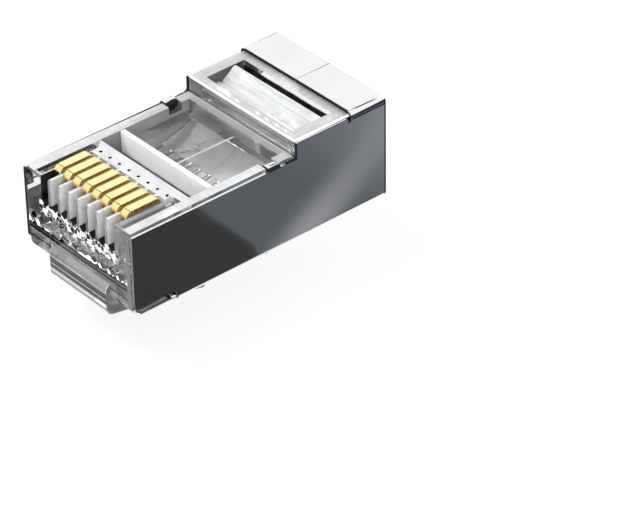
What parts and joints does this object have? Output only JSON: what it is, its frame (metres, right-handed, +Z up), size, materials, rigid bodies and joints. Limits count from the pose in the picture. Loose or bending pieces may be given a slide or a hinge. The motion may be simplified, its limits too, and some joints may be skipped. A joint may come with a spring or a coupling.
{
  "type": "shielded modular plug",
  "caption": "Clear modular plug for twisted-pair cable, with gold blades, a spring latch and a folded metal shield, before crimping.",
  "frame": {"origin": "middle of the nose face's width, on the nose face, level with the underside of the body", "axes": "+X across the plug, +Y from the nose to the cable end, +Z up: the blades face +Z and the latch hangs below"},
  "size_m": [0.0116, 0.0226, 0.012],
  "materials": {
    "clear_plastic": "clear polycarbonate, polished",
    "shield_metal": "nickel-plated spring metal sheet, bright",
    "contact_gold": "gold-plated bronze, polished"
  },
  "bodies": {
    "shell": {"plug_body": "clear_plastic", "shield": "shield_metal"},
    "latch": {"latch_tab": "clear_plastic"},
    "conductor_clamp": {"conductor_clamp_bar": "clear_plastic"},
    "cable_clamp": {"cable_clamp_flap": "clear_plastic"},
    "blade_1": {"contact_1": "contact_gold"},
    "blade_2": {"contact_2": "contact_gold"},
    "blade_3": {"contact_3": "contact_gold"},
    "blade_4": {"contact_4": "contact_gold"},
    "blade_5": {"contact_5": "contact_gold"},
    "blade_6": {"contact_6": "contact_gold"},
    "blade_7": {"contact_7": "contact_gold"},
    "blade_8": {"contact_8": "contact_gold"}
  },
  "joints": [
    {"name": "latch_press", "type": "hinge", "parent": "shell", "child": "latch", "pos_m": [0, 0.00035, 0.001], "axis": [1, 0, 0], "range_deg": [0, 9.5], "stiffness_Nm_per_rad": 0.3},
    {"name": "cable_clamp_press", "type": "hinge", "parent": "shell", "child": "cable_clamp", "pos_m": [0, 0.01635, 0.00685], "axis": [-1, 0, 0], "range_deg": [0, 34]},
    {"name": "conductor_clamp_press", "type": "slide", "parent": "shell", "child": "conductor_clamp", "axis": [0, 0, -1], "range_m": [0, 0.0009]},
    {"name": "blade_1_press", "type": "slide", "parent": "shell", "child": "blade_1", "axis": [0, 0, -1], "range_m": [0, 0.0011]},
    {"name": "blade_2_press", "type": "slide", "parent": "shell", "child": "blade_2", "axis": [0, 0, -1], "range_m": [0, 0.0011]},
    {"name": "blade_3_press", "type": "slide", "parent": "shell", "child": "blade_3", "axis": [0, 0, -1], "range_m": [0, 0.0011]},
    {"name": "blade_4_press", "type": "slide", "parent": "shell", "child": "blade_4", "axis": [0, 0, -1], "range_m": [0, 0.0011]},
    {"name": "blade_5_press", "type": "slide", "parent": "shell", "child": "blade_5", "axis": [0, 0, -1], "range_m": [0, 0.0011]},
    {"name": "blade_6_press", "type": "slide", "parent": "shell", "child": "blade_6", "axis": [0, 0, -1], "range_m": [0, 0.0011]},
    {"name": "blade_7_press", "type": "slide", "parent": "shell", "child": "blade_7", "axis": [0, 0, -1], "range_m": [0, 0.0011]},
    {"name": "blade_8_press", "type": "slide", "parent": "shell", "child": "blade_8", "axis": [0, 0, -1], "range_m": [0, 0.0011]}
  ]
}
